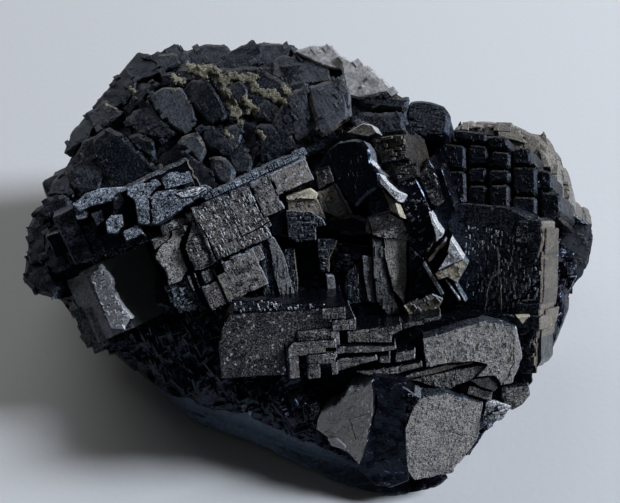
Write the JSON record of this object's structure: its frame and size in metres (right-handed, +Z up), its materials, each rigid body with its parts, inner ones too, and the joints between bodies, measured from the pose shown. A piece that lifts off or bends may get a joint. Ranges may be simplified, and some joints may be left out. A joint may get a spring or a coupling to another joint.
{
  "type": "fluorite specimen",
  "caption": "Hand-size natural cluster of dark, stepped cubic crystals grown together over a rough base, resting on a broken flat underside.",
  "frame": {"origin": "centre of the bounding box's bottom, on the resting plane", "axes": "+X along the widest side, +Z up from the resting face, the crystal-covered face looking up and to -Y"},
  "size_m": [0.0982, 0.0778, 0.0439],
  "materials": {
    "fluorite": "glossy cleaved faces beside frosted, finely stepped growth faces"
  },
  "bodies": {
    "root": {"fluorite_cluster": "fluorite"}
  },
  "joints": []
}
